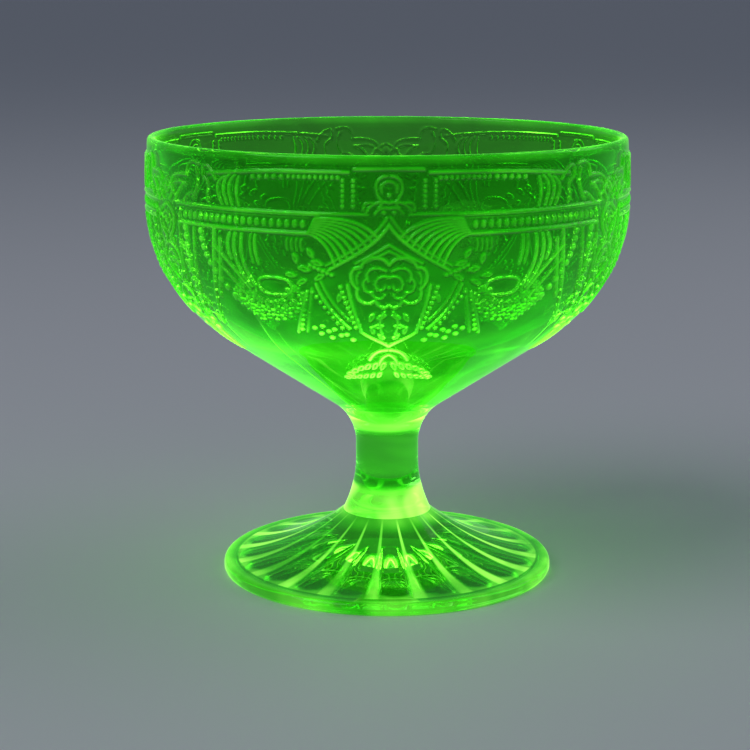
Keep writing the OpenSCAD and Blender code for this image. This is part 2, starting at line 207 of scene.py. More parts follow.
def main_lines():
    """Lines of the motif that stands in the middle of each mould part."""
    lines = [
        ([(0, 8.7), (7.4, 8.6)], PLAIN, 0.34),
        ([(8.6, 8.1), (26, 8.2), (34, 7.7), (43.5, 6.9)], PLAIN, 0.38),
        ([(4.5, 1.5), (9, 1.7), (16, 1.5)], FINE, 0.34),
        ([(15, 1.5), (55, 1.5)], 0.7, 0.39),
        ([(17.2, 0.85), (55, 0.85)], 0.3, 0.2),
        ([(17.4, -1.6), (54, -1.6)], 0.65, 0.39),
        ([(34.2, 6.8), (35.6, 4.8), (34.2, 2.2)], FINE, 0.36),
        # urn
        ([(0.4, 7.6), (3, 7.4), (3.4, 5.6), (1.9, 4)], FINE, 0.38),
        ([(1.9, 4), (1.1, 3.2), (2.2, 2.6)], FINE, 0.36),
        ([(0, 6.7), (1.8, 6.6), (1.6, 5)], FINE, 0.3),
        ([(0, 3.4), (3.4, 4), (4.8, 1.9)], FINE, 0.36),
        ([(0, 2.5), (1.8, 3), (3, 1.6)], FINE, 0.34),
        ([(3.6, 3.4), (5.6, 3.6), (5.4, 2.2)], FINE, 0.32),
        # side of the window: ripples and scrolls
        ([(35.4, 6.9), (38, 5.6), (37, 3.8), (36, 2.2)], FINE, 0.39),
        ([(36.8, 7), (39.8, 5.6), (38.6, 3.8), (37.4, 2.2)], FINE, 0.39),
        ([(38.4, 6.6), (41.6, 5.4), (40.2, 3.8), (39, 2.2)], FINE, 0.39),
        ([(41, 6), (43, 9), (46.6, 8.6), (44.8, 6.2)], FINE, 0.39),
        ([(44.8, 6.2), (41.4, 5), (44.8, 4), (43, 2.3)], FINE, 0.39),
        ([(47.4, 7.6), (46, 5.6), (47.2, 4), (48.6, 2.6)], FINE, 0.39),
        ([(46.4, 8.2), (49.2, 9), (51, 8.2), (50.8, 6.2)], FINE, 0.38),
        ([(50.8, 6.2), (58, 6.6), (59.4, 4.4), (55.6, 2.7)], FINE, 0.38),
        ([(51.6, 4.6), (54, 5.4), (56.4, 4.6)], FINE, 0.32),
        # ribbons, which cross over the rosette
        ([(-0.9, 1), (1.8, -2.8), (6.4, -4.6), (13.2, -7.4)], PLAIN, 0.4),
        ([(0.4, 1.1), (2.8, -2), (7, -4), (13.8, -6.7)], FINE, 0.32),
        ([(0, -3.2), (3, -4.6), (7.2, -6.2)], FINE, 0.36),
        ([(0, -4.2), (2.6, -5.2), (5.6, -6.2)], FINE, 0.32),
        # rosette
        ([(0, -6.4), (1.6, -4.6), (5.2, -4.9), (6, -6.8)], PLAIN, 0.42),
        ([(6, -6.8), (8.8, -6.6), (9, -9.4), (7, -10.4)], PLAIN, 0.42),
        ([(7, -10.4), (8.2, -12.4), (5, -13.8), (3.2, -12.4)], PLAIN, 0.42),
        ([(3.2, -12.4), (2.2, -13.8), (0.8, -14), (0, -13.2)], PLAIN, 0.4),
        ([(0.6, -7.4), (3.6, -6.2), (5.6, -7.6), (4.6, -9.2)], FINE, 0.4),
        ([(4.9, -8.6), (6.6, -9.6), (5.2, -11.6), (3.6, -10.9)], FINE, 0.4),
        ([(4, -11), (3.4, -12.4), (1.4, -12.4), (1, -11.4)], FINE, 0.38),
        ([(-1.2, -9.4), (0, -7.8), (3, -8), (3, -9.8)], FINE, 0.4),
        ([(3, -9.8), (2.8, -11), (1, -10.9), (0.9, -9.9)], FINE, 0.38),
        ([(6.4, -7.6), (7.4, -8.4), (7, -9.6)], FINE, 0.34),
        # shield
        ([(9.2, -9.8), (8.6, -13.8), (6.9, -18.3)], PLAIN, 0.42),
        ([(6.9, -18.3), (5, -19.4), (2.2, -20), (0, -21)], PLAIN, 0.42),
        ([(1, -14.4), (3, -16.2), (1.6, -18.6)], FINE, 0.38),
        # straps beside the shield
        ([(16.4, -9.8), (14.6, -14.6), (9.8, -17.6)], PLAIN, 0.42),
        ([(15.2, -9.4), (13.4, -13.4), (9.4, -16.2)], FINE, 0.34),
        ([(18.8, -11.2), (21.2, -15.4), (24, -18.8)], PLAIN, 0.42),
        ([(17.6, -10.6), (18.8, -15), (21.4, -18.6)], FINE, 0.34),
        # hanging ribbons at the panel's outer end
        ([(30, -2.3), (30.8, -4.4), (29.8, -7)], PLAIN, 0.4),
        ([(31.2, -2.3), (32, -4.4), (31.2, -7)], FINE, 0.36),
        ([(33.6, -2.3), (34.8, -5.8), (34, -8.2), (31.8, -10.8)], PLAIN, 0.4),
        ([(35.4, -2.3), (37, -5.4), (36, -8), (32.8, -11)], PLAIN, 0.4),
        ([(37, -2.5), (38.8, -4.6), (37.2, -6.6)], PLAIN, 0.38),
        ([(42.2, -4.6), (39.2, -6.6), (36, -8.6), (33.6, -11.4)], PLAIN, 0.4),
        ([(43, -6.6), (40.4, -8.2), (37.4, -10.4), (35, -12.8)], FINE, 0.36),
        ([(31.8, -11), (32.4, -12.4), (34, -13.8)], FINE, 0.36),
        # palmettes
        ([(0.4, -21.8), (3.8, -21.8), (5.8, -24)], PLAIN, 0.38),
        ([(0, -22.8), (2.4, -23.4), (3, -25.2)], FINE, 0.36),
    ]
    tassels = [([(19 + 1.1 * i, -2.6), (19.4 + 1.1 * i, -3.4), (19 + 1.1 * i, -4.4)], FINE, 0.3)
               for i in range(4)]
    pleats = 8
    for i in range(pleats):   # cloth caught at the belt's end, falling towards the middle
        t = i / (pleats - 1)
        lines.append(([(15.8 + 1.7 * t, 0.9 - 2.5 * t), (9 + 6 * t, 1.1 - 3 * t),
                       (4.6 + 8.4 * t, -3.6 * t), (2.2 + 9.6 * t, -2.2 - 4.3 * t)], 0.5, 0.39))
    mid, up = 26.6, -10.6     # middle of the oval ring
    reach, drop = 4.3, 1.5    # half its width in degrees and its height in millimetres
    for side in (1, -1):
        for end in (1, -1):
            lines.append(([(mid + side * reach, up), (mid + side * reach, up + end * drop * 0.8),
                           (mid + side * reach * 0.6, up + end * drop),
                           (mid, up + end * drop)], 0.55, 0.4))
    for place in ((14.6, -6.6, 1.7, 20), (14.4, -8.2, 1.7, -30), (16.6, -5.4, 1.5, 60),
                  (17.6, -7.6, 1.8, 15), (18.6, -9.2, 1.7, -25), (20.4, -6.4, 1.5, 75),
                  (21, -8.6, 1.6, 10), (11, -11.4, 1.4, -70), (22.4, -11.8, 1.4, 40),
                  (0.8, -15, 1.5, -25), (1.4, -17, 1.6, -5), (3.6, -14.8, 1.5, -60),
                  (1.2, -19.4, 1.2, 35), (4.4, -17.2, 1.3, -110)):
        lines += leaf(*place)
    for i in range(6):        # palmette leaves low on the bowl, spreading from the middle
        lines += leaf(1.2 + 2.4 * i, -24.6 - 0.35 * i * i / 3, 1.9, -62 + 12 * i, 0.42)
        lines += leaf(2.6 + 2.6 * i, -27 - 0.3 * i, 1.6, -48 + 10 * i, 0.38)
    return lines + tassels


def between_lines():
    """Lines of the narrow motif between two main ones, from its own middle."""
    lines = [
        ([(0.4, 3), (3.4, 5.4), (4.4, 3.4), (1.4, 1.8)], PLAIN, 0.39),
        ([(4.4, 1.8), (6.2, 4.4), (8.6, 4.8)], PLAIN, 0.39),
        ([(7.4, 1.6), (9.6, 3.6), (11.6, 3.4)], FINE, 0.38),
        ([(0, 5.2), (1.8, 4.8), (2.2, 3.8)], FINE, 0.36),
        ([(0.4, 0.9), (4.6, 0), (4.8, -2.6), (0.8, -4.6)], PLAIN, 0.39),
        ([(0.2, -0.4), (2.8, -1), (2.6, -2.6), (0.6, -3.6)], FINE, 0.38),
        ([(0.4, -5.6), (5.2, -6.6), (5, -9.6), (0.8, -12)], PLAIN, 0.42),
        ([(0.2, -7), (3, -7.6), (2.8, -9.4), (0.6, -10.6)], FINE, 0.38),
        ([(0.4, -13), (3.8, -14.2), (3.4, -16.6), (0.6, -18)], PLAIN, 0.42),
        ([(0.4, -19), (3.6, -20.4), (4, -23), (1, -25)], FINE, 0.36),
        ([(18.4, -1.8), (17.6, -8), (14.4, -14), (9.8, -19)], PLAIN, 0.38),
        ([(20, -3.4), (19.6, -7), (18, -10.4), (15.6, -13.6)], PLAIN, 0.36),
        ([(6.4, 0.6), (5.4, -7), (3.4, -15), (1.8, -21.4)], FINE, 0.34),
        ([(11.6, -2.2), (10.6, -8), (8.4, -13), (5.6, -17.4)], FINE, 0.36),
    ]
    for i in range(5):        # plumes that fan out below the crown
        lines += leaf(5.2 + 0.9 * i, -5 - 3.1 * i, 1.8, -40 - 6 * i, 0.4)
        lines += leaf(0.8, -4.8 - 3.6 * i, 1.5, -25, 0.4)
    return lines


def main_beads():
    """Beads of the main motif: (degrees, millimetres above the belt, width, height, rise)."""
    beads = [(10.9 + 1.22 * i, 7.25, 0.66, 0.85, 0.39) for i in range(10)]
    beads += [(23.6 + 1.75 * i, 7.2 - 0.06 * i, 0.85, 0.9, 0.39) for i in range(5)]
    beads += [(18.6 + 1.82 * i, -0.15, 0.95, 1.5, 0.39) for i in range(19)]
    beads += [(a, 6.8 - 0.8 * i, 0.66, 0.8, 0.39) for i in range(6) for a in (7.6, 9.9)]
    beads += [(10.9 - 0.35 * i, -10.2 - 0.9 * i, 0.8, 0.85, 0.45) for i in range(9)]
    beads += [(17.6 - 0.85 * i, -11.2 - 0.9 * i, 0.8, 0.85, 0.44) for i in range(8)]
    beads += [(20.6 + 0.5 * i, -14.6 - 0.9 * i, 0.75, 0.8, 0.42) for i in range(5)]
    beads += [(12.6 + 0.95 * i, -8.2 + 0.3 * i, 0.8, 0.8, 0.4) for i in range(6)]
    beads += [(a, up, 0.95, 0.95, 0.42) for a, up in (
        (16.8, -17.4), (15.4, -18.3), (13.8, -17.9), (12.3, -19), (17.6, -18.8), (10.8, -18.8),
        (14.9, -19.5), (9.4, -19.8), (19, -17.8))]
    beads += [(1.7, 5.8, 0.7, 1.4, 0.3), (0, -10.2, 0.8, 0.7, 0.36), (0, 4.6, 0.8, 0.8, 0.34),
              (1.1, 1.9, 0.8, 0.8, 0.36)]
    for i in range(8):        # the garland's rope of blossoms, with a smaller row above it
        t = i / 3.5 - 1
        beads += blossom(28.8 + 8.8 * t, -15.4 + 3.2 * t * t, 1.5 - 0.25 * abs(t))
        beads += blossom(28.6 + 7.2 * t, -13.8 + 2.9 * t * t, 0.95, 0.38)
    for i in range(9):
        t = i / 4 - 1
        beads += [(28.8 + 8.4 * t, -16.7 + 3.2 * t * t, 0.9, 0.8, 0.4)]
    return beads


def between_beads():
    """Beads of the narrow motif: strings of long drops either side of the plume."""
    beads = [(8.4 - 4.6 * t * t, -2.4 - 18 * t, 1.35, 1.45, 0.5)
             for t in (i / 12 for i in range(13))]
    beads += [(14 + 7 * t * t, -2.6 - 10.4 * t, 1.15, 1.25, 0.46)
              for t in (i / 8 for i in range(9))]
    for i in range(5):
        beads += blossom(21.4 + 1.35 * i, -13.2 - 0.8 * i, 1.1, 0.4)
    beads += [(0, 3.9, 1.4, 1.6, 0.39), (0, -1.8, 1.1, 1.3, 0.39), (0, -8.6, 1.1, 1.3, 0.42)]
    return beads


def smooth_curve(points, count):
    """The straight, quadratic or cubic curve that two, three or four points make."""
    p = np.array(points, float)
    t = np.linspace(0, 1, count)[:, None]
    if len(p) == 2:
        return p[0] * (1 - t) + p[1] * t
    if len(p) == 3:
        return p[0] * (1 - t) ** 2 + p[1] * 2 * t * (1 - t) + p[2] * t**2
    return (p[0] * (1 - t) ** 3 + p[1] * 3 * t * (1 - t) ** 2
            + p[2] * 3 * t**2 * (1 - t) + p[3] * t**3)


PROFILE_Z = np.linspace(COLLAR_Z, TOP_Z, 1500)
PROFILE_R = np.array([outer_r(z) for z in PROFILE_Z])
PROFILE_RUN = np.concatenate([[0], np.cumsum(np.hypot(np.diff(PROFILE_R), np.diff(PROFILE_Z)))])


def run_at(z):
    """Distance along the outside's outline up to height z."""
    return np.interp(z, PROFILE_Z, PROFILE_RUN)


def raise_lines(rise, angle, z, lines, beads):
    """Adds the lines' and beads' height to rise, at chart places (angle in degrees, z)."""
    per_degree = np.interp(z, PROFILE_Z, PROFILE_R) * math.pi / 180
    run = run_at(z)
    for points, width, height in lines:
        half = width / 2 * MM
        c = smooth_curve(points, 2 if len(points) == 2 else CURVE_POINTS)
        a, s = c[:, 0], run_at(BELT_Z + c[:, 1] * MM)
        near = np.nonzero((angle > a.min() - 2) & (angle < a.max() + 2)
                          & (run > s.min() - 2 * half) & (run < s.max() + 2 * half))[0]
        k, x, y = per_degree[near], angle[near] * per_degree[near], run[near]
        best = np.full(len(near), 1.0)
        for i in range(len(a) - 1):
            px, py = a[i] * k, s[i]
            dx, dy = (a[i + 1] - a[i]) * k, s[i + 1] - s[i]
            t = np.clip(((x - px) * dx + (y - py) * dy) / (dx * dx + dy * dy), 0, 1)
            best = np.minimum(best, np.hypot(x - px - t * dx, y - py - t * dy) / half)
        rise[near] = np.maximum(rise[near], height * MM * (1 - np.minimum(best, 1) ** 2) ** 0.8)
    for a, up, width, tall, height in beads:
        s = run_at(BELT_Z + up * MM)
        near = np.nonzero((np.abs(angle - a) < 3) & (np.abs(run - s) < tall * MM))[0]
        x = (angle[near] - a) * per_degree[near] / (width / 2 * MM)
        y = (run[near] - s) / (tall / 2 * MM)
        rise[near] = np.maximum(rise[near],
                                height * MM * np.sqrt(np.maximum(1 - x * x - y * y, 0)))


def relief(azimuth, z):
    """How far the outside stands out at each azimuth (degrees from the front) and height."""
    sector = 360 / MOTIFS
    folded = np.abs((azimuth + sector / 2) % sector - sector / 2)
    rise = np.zeros(len(z))
    raise_lines(rise, folded, z, main_lines(), main_beads())
    raise_lines(rise, sector / 2 - folded, z, between_lines(), between_beads())
    seam = (azimuth - SEAM_TURN + sector / 2) % sector - sector / 2
    off = np.abs(seam) * np.interp(z, PROFILE_Z, PROFILE_R) * math.pi / 180 / SEAM_WIDTH
    rise += SEAM_HEIGHT * np.maximum(1 - off**2, 0)
    return rise


# ---- mesh tools ----

WALL_PAINTED_GLOW = 0.72             # painted glow: the wall's share of the glow painted in from within
LOW_BOWL_PAINTED_GLOW = 3.8          # painted light: how much brighter the glow from within is painted on the low bowl


def ramp(start, end, value):
    """Goes smoothly from 0 at start to 1 at end."""
    t = np.clip((np.asarray(value) - start) / (end - start), 0, 1)
    return t * t * (3 - 2 * t)


def write_painted_glow(bm, painted_inner, painted_front):
    """Stores each point's painted glow: its share of the painted glow from within, and the painted
    glow and highlights on its outer face.
    """
    layers = bm.verts.layers.float
    painted_inner_layer, painted_front_layer = layers.new("painted_inner_glow"), layers.new("painted_front_glow")
    for v, i, c in zip(bm.verts, painted_inner, painted_front):
        v[painted_inner_layer] = i
        v[painted_front_layer] = c


def spun(outline, start, sweep, steps):
    """A closed (radius, height) outline spun about Z from start, in degrees from the front."""
    bm = bmesh.new()
    turn = math.radians(start)
    verts = [bm.verts.new((r * math.sin(turn), -r * math.cos(turn), z)) for r, z in outline]
    whole = sweep == 360
    ends = [] if whole else verts[:1]   # a whole turn's outline begins and ends on the axis
    edges = [bm.edges.new(pair) for pair in zip(verts, verts[1:] + ends)]
    bmesh.ops.spin(bm, geom=verts + edges, cent=(0, 0, 0), axis=(0, 0, 1), dvec=(0, 0, 0),
                   angle=math.radians(sweep), steps=steps, use_merge=whole,
                   use_duplicate=False)
    if whole:
        bmesh.ops.remove_doubles(bm, verts=bm.verts, dist=TOUCHING)
        bmesh.ops.dissolve_degenerate(bm, edges=bm.edges, dist=TOUCHING)
    else:
        bmesh.ops.holes_fill(bm, edges=[e for e in bm.edges if e.is_boundary], sides=0)
    bmesh.ops.recalc_face_normals(bm, faces=bm.faces)
    return bm


def lies_flat_at(face, *heights):
    """Whether a face lies level at one of the heights, where two pieces meet."""
    zs = [v.co.z for v in face.verts]
    return max(zs) - min(zs) < TOUCHING and any(abs(zs[0] - h) < TOUCHING for h in heights)


def finish_piece(bm, name, materials, is_join, replaced):
    """Makes the piece's object: glass faces smooth, faces that meet a neighbour on slot 1."""
    for face in bm.faces:
        face.smooth = True
        if is_join(face):
            face.material_index = 1
            face.smooth = False
            for edge in face.edges:
                edge.smooth = False
    mesh = bpy.data.meshes.new(name)
    bm.to_mesh(mesh)
    bm.free()
    for material in materials:
        mesh.materials.append(material)
    return add_piece(mesh, name, replaced)


def add_piece(mesh, name, replaced):
    """Puts a glass mesh in the scene as a piece of the dish."""
    mesh.name = name
    piece = bpy.data.objects.new(name, mesh)
    bpy.context.scene.collection.objects.link(piece)
    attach(piece, "root")
    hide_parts(*replaced)
    return piece


# ---- materials ----

DEPTH_UNIT = 10 * MM         # the depth of glass that "glow" is given for
PATCH_SIZE = 12 * MM         # size of the light's brighter and darker patches
RIPPLE_SIZE = 9 * MM         # size of the fire-polished surface's faint waves
RIPPLE_HEIGHT = 0.6 * MM
RIM_SHARPNESS = 5.0          # how closely the edge glow keeps to the turned-away surface
REFLECTION_TINT = "9CE694"


def linear(code):
    """A colour in linear light from its sRGB hex code."""
    parts = [int(code[i:i + 2], 16) / 255 for i in (0, 2, 4)]
    return tuple(c / 12.92 if c <= 0.04045 else ((c + 0.055) / 1.055) ** 2.4
                 for c in parts) + (1.0,)


def add_node(tree, kind, settings=None, links=None):
    """Adds a node of a kind, with settings {input or attribute: value} and links {input: socket}."""
    node = tree.nodes.new(kind)
    for key, value in (settings or {}).items():
        if isinstance(key, int) or key in node.inputs:
            node.inputs[key].default_value = value
        else:
            setattr(node, key, value)
    for key, socket in (links or {}).items():
        tree.links.new(socket, node.inputs[key])
    return node


def uranium_glass():
    """Pressed soda-lime glass tinted with uranium oxide: clear, fire-polished, green, and
    with a painted green glow: emission in place of its fluorescence, the more of it the deeper the
    glass is."""
    look = bpy.context.scene.dish_glass
    material = bpy.data.materials.new("pressed_uranium_glass")
    material.use_nodes = True
    tree = material.node_tree
    tree.nodes.clear()
    path = add_node(tree, "ShaderNodeLightPath")
    side = add_node(tree, "ShaderNodeNewGeometry")
    # painted glow from within: back faces give off light that grows with the ray's length through the
    # glass, capped, then scaled per point by a painted attribute
    depth = add_node(tree, "ShaderNodeMath", {"operation": "DIVIDE", 1: DEPTH_UNIT},
                     {0: path.outputs["Ray Length"]})
    grown = add_node(tree, "ShaderNodeMath", {"operation": "POWER", 1: look.depth_power},
                     {0: depth.outputs[0]})
    scaled = add_node(tree, "ShaderNodeMath", {"operation": "MULTIPLY", 1: look.glow},
                      {0: grown.outputs[0]})
    painted_inner = add_node(tree, "ShaderNodeAttribute", {"attribute_name": "painted_inner_glow"})
    painted_front = add_node(tree, "ShaderNodeAttribute", {"attribute_name": "painted_front_glow"})
    capped = add_node(tree, "ShaderNodeMath", {"operation": "MINIMUM", 1: look.glow_limit},
                      {0: scaled.outputs[0]})
    shared = add_node(tree, "ShaderNodeMath", {"operation": "MULTIPLY"},
                      {0: capped.outputs[0], 1: painted_inner.outputs["Fac"]})
    place = add_node(tree, "ShaderNodeTexCoord")
    # painted light: noise paints the glow brighter and darker in patches
    painted_light_patches = add_node(tree, "ShaderNodeTexNoise",
                       {"Scale": 1 / PATCH_SIZE, "Detail": 2.0, "Roughness": 0.5,
                        "Distortion": 0.6},
                       {"Vector": place.outputs["Object"]})
    spread = add_node(tree, "ShaderNodeMapRange",
                      {"From Min": 0.36, "From Max": 0.64, "To Min": 0.45, "To Max": 1.5},
                      {"Value": painted_light_patches.outputs["Fac"]})
    uneven = add_node(tree, "ShaderNodeMath", {"operation": "MULTIPLY"},
                      {0: shared.outputs[0], 1: spread.outputs["Result"]})
    # painted rim glow: front faces glow brighter where the surface turns away from the view
    edge = add_node(tree, "ShaderNodeLayerWeight", {"Blend": 0.5})
    rim = add_node(tree, "ShaderNodeMath", {"operation": "POWER", 1: RIM_SHARPNESS},
                   {0: edge.outputs["Facing"]})
    painted_rim_glow = add_node(tree, "ShaderNodeMath", {"operation": "MULTIPLY", 1: look.edge_glow},
                        {0: rim.outputs[0]})
    # front faces: the attribute's painted glow and crest highlights, made uneven by the same painted
    # patches, plus a faint even glow
    painted_front_uneven = add_node(tree, "ShaderNodeMath", {"operation": "MULTIPLY"},
                            {0: painted_front.outputs["Fac"], 1: spread.outputs["Result"]})
    skin = add_node(tree, "ShaderNodeMath", {"operation": "ADD", 1: look.skin_glow},
                    {0: painted_front_uneven.outputs[0]})
    face = add_node(tree, "ShaderNodeMath", {"operation": "ADD"},
                    {0: skin.outputs[0], 1: painted_rim_glow.outputs[0]})
    strength = add_node(tree, "ShaderNodeMix", {"data_type": "FLOAT"},
                        {"Factor": side.outputs["Backfacing"], "A": face.outputs[0],
                         "B": uneven.outputs[0]})
    ripple = add_node(tree, "ShaderNodeTexNoise",
                      {"Scale": 1 / RIPPLE_SIZE, "Detail": 1.0, "Roughness": 0.4},
                      {"Vector": place.outputs["Object"]})
    bump = add_node(tree, "ShaderNodeBump", {"Strength": 0.12, "Distance": RIPPLE_HEIGHT},
                    {"Height": ripple.outputs["Fac"]})
    hot = add_node(tree, "ShaderNodeMapRange",
                   {"From Min": 0.18, "From Max": 1.0, "To Min": 0.0, "To Max": 1.0},
                   {"Value": strength.outputs[0]})
    light = add_node(tree, "ShaderNodeMixRGB",
                     {"Color1": linear(look.light), "Color2": linear(look.strong_light)},
                     {"Fac": hot.outputs["Result"]})
    glass = add_node(tree, "ShaderNodeBsdfPrincipled",
                     {"Base Color": linear(look.tint), "Roughness": 0.02, "IOR": 1.52,
                      "Transmission Weight": 1.0, "Specular Tint": linear(REFLECTION_TINT)},
                     {"Emission Color": light.outputs["Color"],
                      "Emission Strength": strength.outputs[0], "Normal": bump.outputs[0]})
    add_node(tree, "ShaderNodeOutputMaterial", None, {"Surface": glass.outputs[0]})
    material.cycles.emission_sampling = "NONE"
    return material


def run_through():
    """Where two regions of the one pressing meet there is no surface: light runs through."""
    material = bpy.data.materials.new("glass_runs_through")
    material.use_nodes = True
    tree = material.node_tree
    tree.nodes.clear()
    clear = add_node(tree, "ShaderNodeBsdfTransparent")
    add_node(tree, "ShaderNodeOutputMaterial", None, {"Surface": clear.outputs[0]})
    return material


def glass_pair():
    """The glass and its run-through joint, made once and shared by every piece."""
    made = bpy.data.materials
    return [made.get("pressed_uranium_glass") or uranium_glass(),
            made.get("glass_runs_through") or run_through()]


# ---- settings ----

class DishMesh(bpy.types.PropertyGroup):
    """How finely the dish is meshed"""
    sector_steps: bpy.props.IntProperty(
        name="Steps a Sector", description="Steps round each third of the bowl",
        default=408, min=40, max=600)
    row_step: bpy.props.FloatProperty(
        name="Row Step", description="Distance between rows where there is relief",
        default=0.2 * MM, min=0.1 * MM, max=2 * MM, unit="LENGTH", precision=5)
    rays: bpy.props.IntProperty(
        name="Rays", description="Number of scooped rays under the foot",
        default=20, min=8, max=40)
    ray_turn: bpy.props.FloatProperty(
        name="Ray Turn", description="How far the rays are turned from the front, in degrees",
        default=3.0, min=0, max=18)


class DishGlass(bpy.types.PropertyGroup):
    """Colour and glow of the glass"""
    tint: bpy.props.StringProperty(
        name="Tint", description="Colour that the glass lets through, as an sRGB hex code",
        default="5CCB46")
    light: bpy.props.StringProperty(
        name="Glow Colour", description="Colour of the glass's own light, as an sRGB hex code",
        default="4CFF24")
    strong_light: bpy.props.StringProperty(
        name="Strong Glow Colour",
        description="Colour of the glass's light where it is strongest, as an sRGB hex code",
        default="A6FF5C")
    glow: bpy.props.FloatProperty(
        name="Glow", description="Light given off by 10 mm of glass", default=0.45, min=0, max=10)
    depth_power: bpy.props.FloatProperty(
        name="Depth Power", description="How fast the light grows with depth",
        default=1.4, min=0.5, max=3)
    glow_limit: bpy.props.FloatProperty(
        name="Glow Limit", description="Most light from one pass through the glass",
        default=0.44, min=0, max=20)
    edge_glow: bpy.props.FloatProperty(
        name="Edge Glow", description="Light given off where the surface turns away",
        default=0.5, min=0, max=5)
    skin_glow: bpy.props.FloatProperty(
        name="Skin Glow", description="Light given off at the surface", default=0.02, min=0, max=1)


class DishStage(bpy.types.PropertyGroup):
    """Floor, light and camera"""
    floor_colour: bpy.props.StringProperty(
        name="Floor", description="Floor colour, as an sRGB hex code", default="D9DCE2")
    distance: bpy.props.FloatProperty(
        name="Distance", description="Camera's distance from the dish's axis",
        default=0.3327, min=0.1, max=3, unit="LENGTH")
    eye_z: bpy.props.FloatProperty(
        name="Eye Height", description="Camera's height above the floor",
        default=0.1062, min=0, max=2, unit="LENGTH")
    pitch: bpy.props.FloatProperty(
        name="Pitch", description="How far the camera looks down",
        default=math.radians(12), min=0, max=math.pi / 2, subtype="ANGLE")


# ---- pieces ----

def bowl_outline(low, high, step):
    """Outline of the wall between two heights: outside, lip if it's the top, inside."""
    top = high >= LIP_Z
    out_top = LIP_Z if top else high
    outside = []
    low_relief = max(low, RELIEF_LOW_Z)
    if low < RELIEF_LOW_Z:
        outside += stepped(outer_r, low, RELIEF_LOW_Z, 1.2 * MM)[:-1]
    relief_end = min(out_top, RELIEF_TOP_Z)
    outside += stepped(outer_r, low_relief, relief_end, step)
    if top:
        outside += stepped(outer_r, relief_end, LIP_Z, 0.4 * MM)[1:]
        half = LIP_T / 2
        turns = (math.radians(a) for a in range(15, 180, 15))
        outside += [(LIP_R - half + half * math.cos(a), TOP_Z - half + half * math.sin(a))
                    for a in turns]
    inside = stepped(inner_r, out_top, low, 1.0 * MM)
    return outside + inside


def raise_relief(bm):
    """Moves the bowl's outside outwards by its relief, and stores the painted glow: painted
    highlights on the crests, a brighter painted low bowl and a painted glow at the lip.
    """
    verts = list(bm.verts)
    co = np.array([v.co for v in verts])
    r = np.hypot(co[:, 0], co[:, 1])
    z = co[:, 2]
    middle = np.interp(z, PROFILE_Z, PROFILE_R) - 0.4 * WALL_T
    out = np.nonzero((r > middle) & (z < RELIEF_TOP_Z + 0.1 * MM))[0]
    azimuth = np.degrees(np.arctan2(co[out, 0], -co[out, 1]))
    rise = np.minimum(relief(azimuth, z[out]), WIDEST_R - r[out])
    grow = 1 + rise / r[out]
    for i, g in zip(out, grow):
        verts[i].co.x *= g
        verts[i].co.y *= g
    raised = np.zeros(len(verts))
    raised[out] = np.clip(rise / (0.4 * MM), 0, 1)
    # painted light: the glow from within is painted much brighter on the low bowl
    low = ramp(BELT_Z - 15 * MM, BELT_Z - 25 * MM, z)
    lip = ramp(LIP_Z - 0.2 * MM, LIP_Z + 0.4 * MM, z)
    # painted highlight on the crests' outer face, stronger on the low bowl, plus a painted glow at
    # the lip; the glow from within is painted dimmer under the crests
    write_painted_glow(bm, (WALL_PAINTED_GLOW + LOW_BOWL_PAINTED_GLOW * low) * (1 - 0.85 * np.minimum(raised * 3, 1)),
               raised**1.5 * (0.24 + 0.9 * low) + 0.12 * lip)


def build_tier(tier, low, high, nodes, shared):
    """One sector of a tier of the bowl, and its copies turned to the other mould parts."""
    mesh_set = bpy.context.scene.dish_mesh
    sector = 360 / MOTIFS
    bm = spun(bowl_outline(low, high, mesh_set.row_step), SEAM_TURN, sector,
              mesh_set.sector_steps)
    raise_relief(bm)

    def is_join(face):        # a sector's cut side is one face of many points
        return len(face.verts) > 4 or lies_flat_at(face, low, high)

    first = finish_piece(bm, f"{tier}_front", glass_pair(), is_join, nodes)
    for i, part in enumerate(("right", "left"), start=1):
        mesh = first.data.copy()
        mesh.transform(Matrix.Rotation(math.radians(sector * i), 4, "Z"))
        add_piece(mesh, f"{tier}_{part}", shared)


class DISH_OT_upper_bowl(bpy.types.Operator):
    """Build the lip and the frieze above the belt's lower rule, one piece per mould part"""
    bl_idname = "dish.upper_bowl"
    bl_label = "Lip and Frieze"

    def execute(self, context):
        nodes = ["rim_lip", "upper_rules", "upper_beads", "belt_top_rules", "belt_beads",
                 "belt_low_rules", "window_bars", "urns", "pendants", "wave_lines", "scrolls"]
        build_tier("frieze", TIER_Z, TOP_Z, nodes, nodes[:1])
        return {"FINISHED"}


class DISH_OT_lower_bowl(bpy.types.Operator):
    """Build the draped wall and the plain cone below the belt, one piece per mould part"""
    bl_idname = "dish.lower_bowl"
    bl_label = "Draped Wall"

    def execute(self, context):
        nodes = ["bowl_wall", "bowl_cone", "drapery", "ribbons", "rosettes", "shields",
                 "side_straps", "strap_beads", "garlands", "oval_rings", "plumes", "chains",
                 "palmettes", "mould_seams"]
        build_tier("draped_wall", CONE_LOW_Z, TIER_Z, nodes, nodes[:2])
        return {"FINISHED"}


